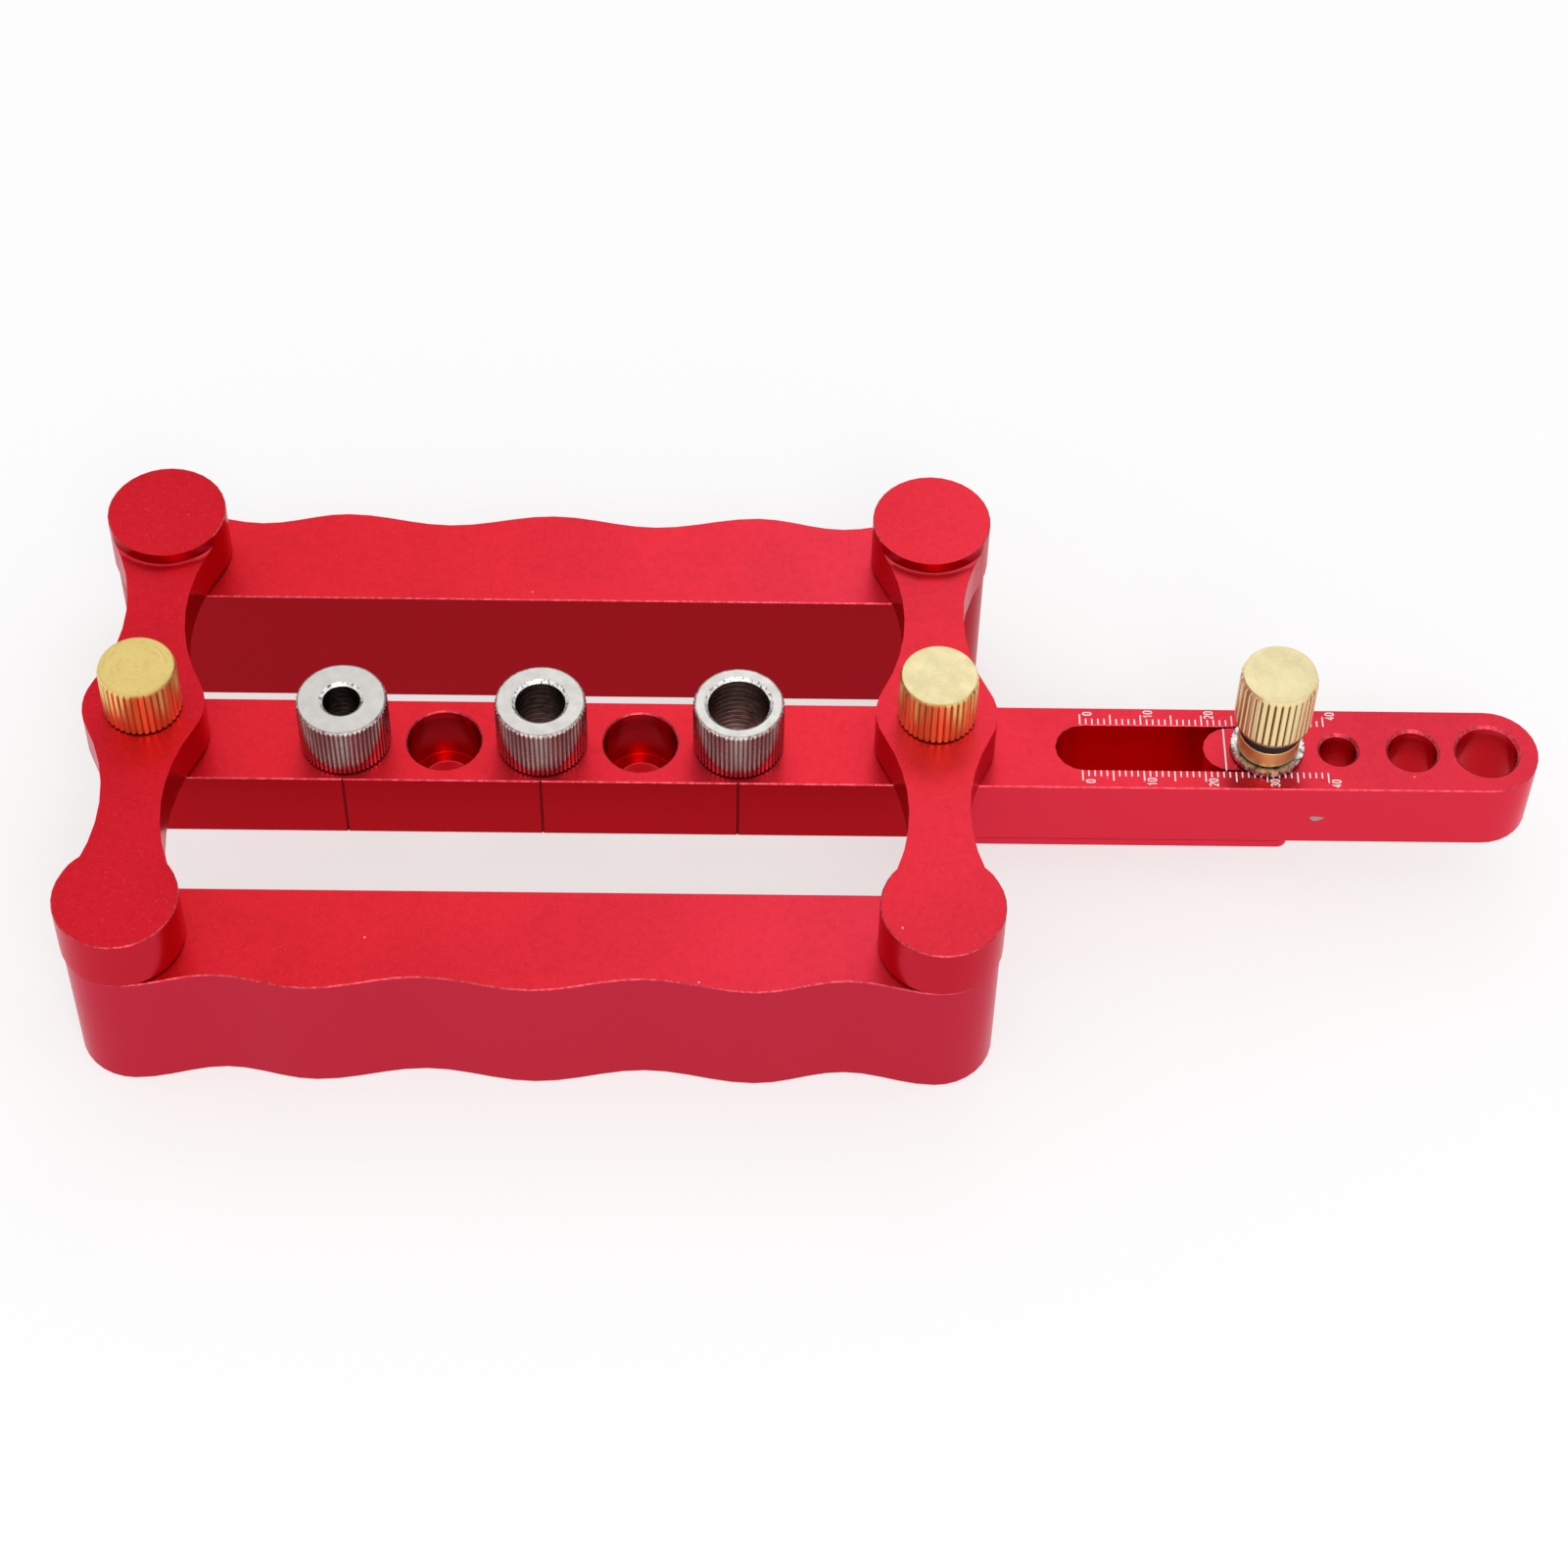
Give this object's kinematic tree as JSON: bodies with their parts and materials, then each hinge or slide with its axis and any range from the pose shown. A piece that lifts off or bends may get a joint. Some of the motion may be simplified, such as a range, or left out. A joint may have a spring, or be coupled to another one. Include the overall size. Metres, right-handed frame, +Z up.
{
  "type": "doweling jig",
  "caption": "Self-centring doweling jig: a guide bar with knurled drill bushings, pivoting arms that keep wavy side plates parallel, and a slotted ruler end with a sliding stop.",
  "frame": {"origin": "on the undersides of the side plates, in the middle of the jig's length and width with the arms square to the bar", "axes": "+X along the guide bar towards its ruled end, +Y towards the rear plate, +Z up, out of the drill bushings"},
  "size_m": [0.2368, 0.0992, 0.045],
  "materials": {
    "red_anodised": "fine satin red anodising over bead-blasted aluminium",
    "knurled_brass": "turned brass with straight knurling and a brushed top",
    "nickel_steel": "nickel-plated steel with fine straight knurling",
    "plain_steel": "plain zinc-plated steel",
    "black_rubber": "matt black rubber"
  },
  "bodies": {
    "guide_bar": {"guide_bar": "red_anodised", "drill_bushing_6": "nickel_steel", "drill_bushing_8": "nickel_steel", "drill_bushing_10": "nickel_steel"},
    "left_arm": {"left_arm": "red_anodised", "pivot_screw_front_left": "plain_steel", "pivot_screw_rear_left": "plain_steel", "pivot_washer_front_left": "plain_steel", "pivot_washer_rear_left": "plain_steel"},
    "right_arm": {"right_arm": "red_anodised", "pivot_screw_front_right": "plain_steel", "pivot_screw_rear_right": "plain_steel", "pivot_washer_front_right": "plain_steel", "pivot_washer_rear_right": "plain_steel"},
    "front_plate": {"front_plate": "red_anodised"},
    "rear_plate": {"rear_plate": "red_anodised"},
    "left_lock_knob": {"left_lock_knob": "knurled_brass"},
    "right_lock_knob": {"right_lock_knob": "knurled_brass"},
    "slider": {"slider": "red_anodised", "slider_washer": "plain_steel"},
    "slider_knob": {"slider_knob": "knurled_brass", "slider_o_ring": "black_rubber"}
  },
  "joints": [
    {"name": "left_arm_turn", "type": "hinge", "parent": "guide_bar", "child": "left_arm", "pos_m": [-0.10852, 0, 0.0301], "axis": [0, 0, 1], "range_deg": [-62, 62]},
    {"name": "right_arm_turn", "type": "hinge", "parent": "guide_bar", "child": "right_arm", "pos_m": [0.01947, 0, 0.0301], "axis": [0, 0, 1], "range_deg": [-62, 62]},
    {"name": "front_plate_turn", "type": "hinge", "parent": "left_arm", "child": "front_plate", "pos_m": [-0.10852, -0.0398, 0.0129], "axis": [0, 0, 1], "range_deg": [-62, 62]},
    {"name": "rear_plate_turn", "type": "hinge", "parent": "right_arm", "child": "rear_plate", "pos_m": [0.01947, 0.0398, 0.0129], "axis": [0, 0, 1], "range_deg": [-62, 62]},
    {"name": "left_lock_turn", "type": "hinge", "parent": "guide_bar", "child": "left_lock_knob", "pos_m": [-0.10852, 0, 0.0392], "axis": [0, 0, 1], "range_deg": [0, 360]},
    {"name": "right_lock_turn", "type": "hinge", "parent": "guide_bar", "child": "right_lock_knob", "pos_m": [0.01947, 0, 0.0392], "axis": [0, 0, 1], "range_deg": [0, 360]},
    {"name": "slider_slide", "type": "slide", "parent": "guide_bar", "child": "slider", "axis": [1, 0, 0], "range_m": [-0.0235, 0.001]},
    {"name": "slider_knob_turn", "type": "hinge", "parent": "slider", "child": "slider_knob", "pos_m": [0.07383, 0, 0.0392], "axis": [0, 0, 1], "range_deg": [0, 360]}
  ],
  "couplings": [
    {"joint": "right_arm_turn", "follows": "left_arm_turn", "ratio": 1},
    {"joint": "front_plate_turn", "follows": "left_arm_turn", "ratio": -1},
    {"joint": "rear_plate_turn", "follows": "left_arm_turn", "ratio": -1}
  ]
}
